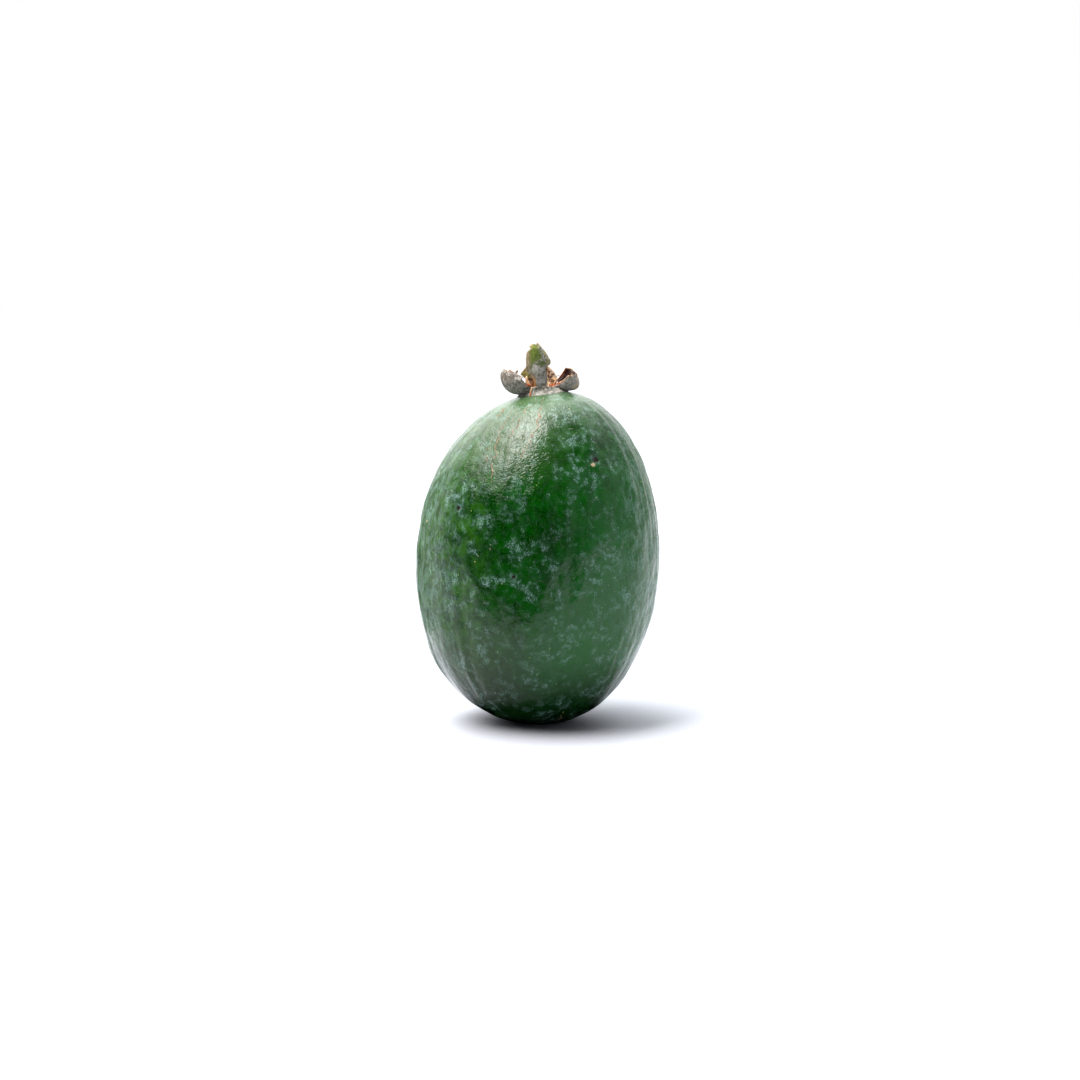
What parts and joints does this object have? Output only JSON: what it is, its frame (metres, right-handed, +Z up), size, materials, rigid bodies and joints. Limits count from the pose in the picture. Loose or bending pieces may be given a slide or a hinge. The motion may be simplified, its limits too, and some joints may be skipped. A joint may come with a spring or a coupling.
{
  "type": "feijoa",
  "caption": "Whole feijoa fruit, oblong with waxy green skin and low ridges, standing on a small flat spot at its stem end, with its dried calyx on top",
  "frame": {"origin": "on the surface that the fruit stands on, under the middle of the whole fruit", "axes": "+Z up from the stem end to the calyx, +X towards the higher shoulder, -Y towards the side with the tallest sepal"},
  "size_m": [0.0446, 0.0432, 0.0705],
  "materials": {
    "skin": "waxy, half gloss, with a dull bloom in patches",
    "felt": "matt, felted"
  },
  "bodies": {
    "root": {"fruit": "skin", "calyx": "felt"}
  },
  "joints": []
}
